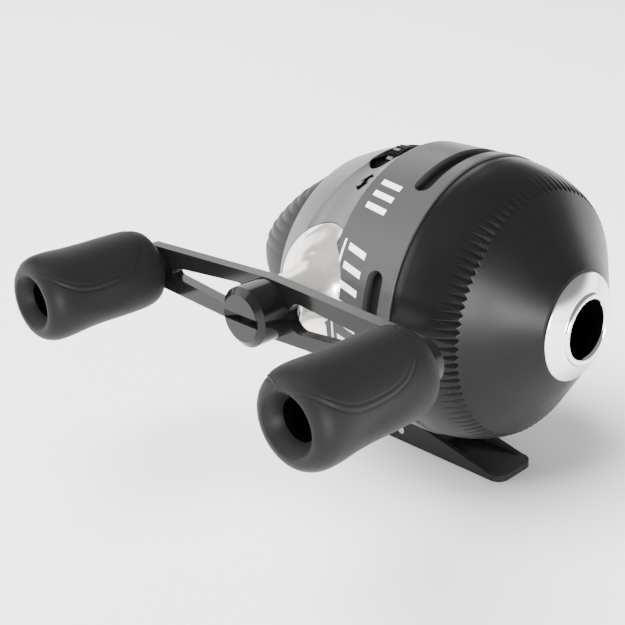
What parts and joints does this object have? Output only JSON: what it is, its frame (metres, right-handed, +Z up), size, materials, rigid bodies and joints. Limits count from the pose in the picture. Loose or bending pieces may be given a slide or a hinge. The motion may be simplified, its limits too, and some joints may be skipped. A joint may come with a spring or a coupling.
{
  "type": "spincast fishing reel",
  "caption": "Closed-face spincast reel: round metal body with a knurled nose cone, double-arm crank with barrel knobs, rear thumb button, top drag wheel and rod foot.",
  "frame": {"origin": "centre of the foot's flat underside, where it lies on the rod's reel seat", "axes": "+X the way the line leaves, +Z up away from the rod, the crank on the -Y side"},
  "size_m": [0.1028, 0.112, 0.075],
  "materials": {
    "dark_metal": "dark gunmetal satin paint",
    "chrome": "polished",
    "steel": "plain steel",
    "grey_metal": "mid grey satin paint",
    "black_metal": "black satin paint",
    "silver_metal": "light silver satin paint",
    "nickel": "warm polished nickel",
    "black_plastic": "black moulded plastic",
    "dark_plastic": "dark grey moulded plastic",
    "brass": "machined",
    "black_gloss": "gloss black",
    "rubber": "soft matt grip rubber",
    "aluminium": "turned",
    "line": "clear nylon line, tightly wound",
    "felt": "pressed felt"
  },
  "bodies": {
    "reel_body": {"front_cover": "dark_metal", "nose_ring": "chrome", "nose_retainer": "steel", "body_band": "grey_metal", "frame": "black_metal", "back_cover": "silver_metal", "side_plate": "nickel", "side_screw": "steel", "dial_bezel": "black_plastic", "crank_bushing": "brass", "pinion_bushing": "brass", "spool_washer": "steel", "spool_clip": "steel", "pawl_pin": "steel", "drag_shoe": "felt", "drag_spring": "steel", "shaft_bracket": "steel", "bracket_screws": "steel", "return_spring": "steel", "foot": "black_metal", "foot_pin": "steel", "foot_screws": "steel", "cover_screws": "steel"},
    "crank": {"crank_shaft": "steel", "drive_gear": "brass", "ratchet_wheel": "steel", "crank_clip": "steel", "handle_washer": "steel", "handle": "black_gloss", "handle_nut": "black_gloss", "knob_spindles": "steel", "knob_washers": "black_metal", "knob_screws": "steel"},
    "rear_grip": {"rear_knob": "rubber"},
    "front_grip": {"front_knob": "rubber"},
    "pinion": {"pinion_gear": "brass", "pinion_collar": "steel"},
    "button": {"thumb_button": "dark_plastic"},
    "rotor": {"centre_shaft": "steel", "shaft_clip": "steel", "spinner_head": "dark_metal", "spinner_nut": "dark_metal"},
    "pickup": {"pickup_pin": "steel"},
    "line_spool": {"spool": "aluminium", "line_pack": "line"},
    "dial": {"drag_dial": "black_plastic", "drag_screw": "brass"},
    "pawl_arm": {"pawl": "steel"}
  },
  "joints": [
    {"name": "crank_spin", "type": "hinge", "parent": "reel_body", "child": "crank", "pos_m": [-0.004, -0.03, 0.048], "axis": [0, 1, 0], "continuous": true},
    {"name": "rear_knob_spin", "type": "hinge", "parent": "crank", "child": "rear_grip", "pos_m": [-0.0455, -0.06, 0.048], "axis": [0, 1, 0], "continuous": true},
    {"name": "front_knob_spin", "type": "hinge", "parent": "crank", "child": "front_grip", "pos_m": [0.0375, -0.06, 0.048], "axis": [0, 1, 0], "continuous": true},
    {"name": "pinion_spin", "type": "hinge", "parent": "reel_body", "child": "pinion", "pos_m": [0.01, 0, 0.042], "axis": [1, 0, 0], "continuous": true},
    {"name": "button_press", "type": "slide", "parent": "reel_body", "child": "button", "axis": [1, 0, 0], "range_m": [0, 0.005], "stiffness_N_per_m": 400, "springref_m": -0.003, "deforming": ["return_spring"]},
    {"name": "rotor_spin", "type": "hinge", "parent": "button", "child": "rotor", "pos_m": [0, 0, 0.042], "axis": [1, 0, 0], "continuous": true},
    {"name": "pickup_slide", "type": "slide", "parent": "rotor", "child": "pickup", "axis": [0, 0, 1], "range_m": [-0.0019, 0]},
    {"name": "spool_spin", "type": "hinge", "parent": "reel_body", "child": "line_spool", "pos_m": [0.019, 0, 0.042], "axis": [1, 0, 0], "continuous": true},
    {"name": "dial_turn", "type": "hinge", "parent": "reel_body", "child": "dial", "pos_m": [-0.0067, 0, 0.0668], "axis": [1, 0, 0], "range_deg": [-135, 135]},
    {"name": "pawl_swing", "type": "hinge", "parent": "reel_body", "child": "pawl_arm", "pos_m": [0.0075, -0.0084, 0.055], "axis": [0, 1, 0], "range_deg": [0, 9]}
  ],
  "couplings": [
    {"joint": "pinion_spin", "follows": "crank_spin", "ratio": 2.625},
    {"joint": "rotor_spin", "follows": "crank_spin", "ratio": 2.625},
    {"joint": "pickup_slide", "follows": "button_press", "ratio": -0.38}
  ]
}
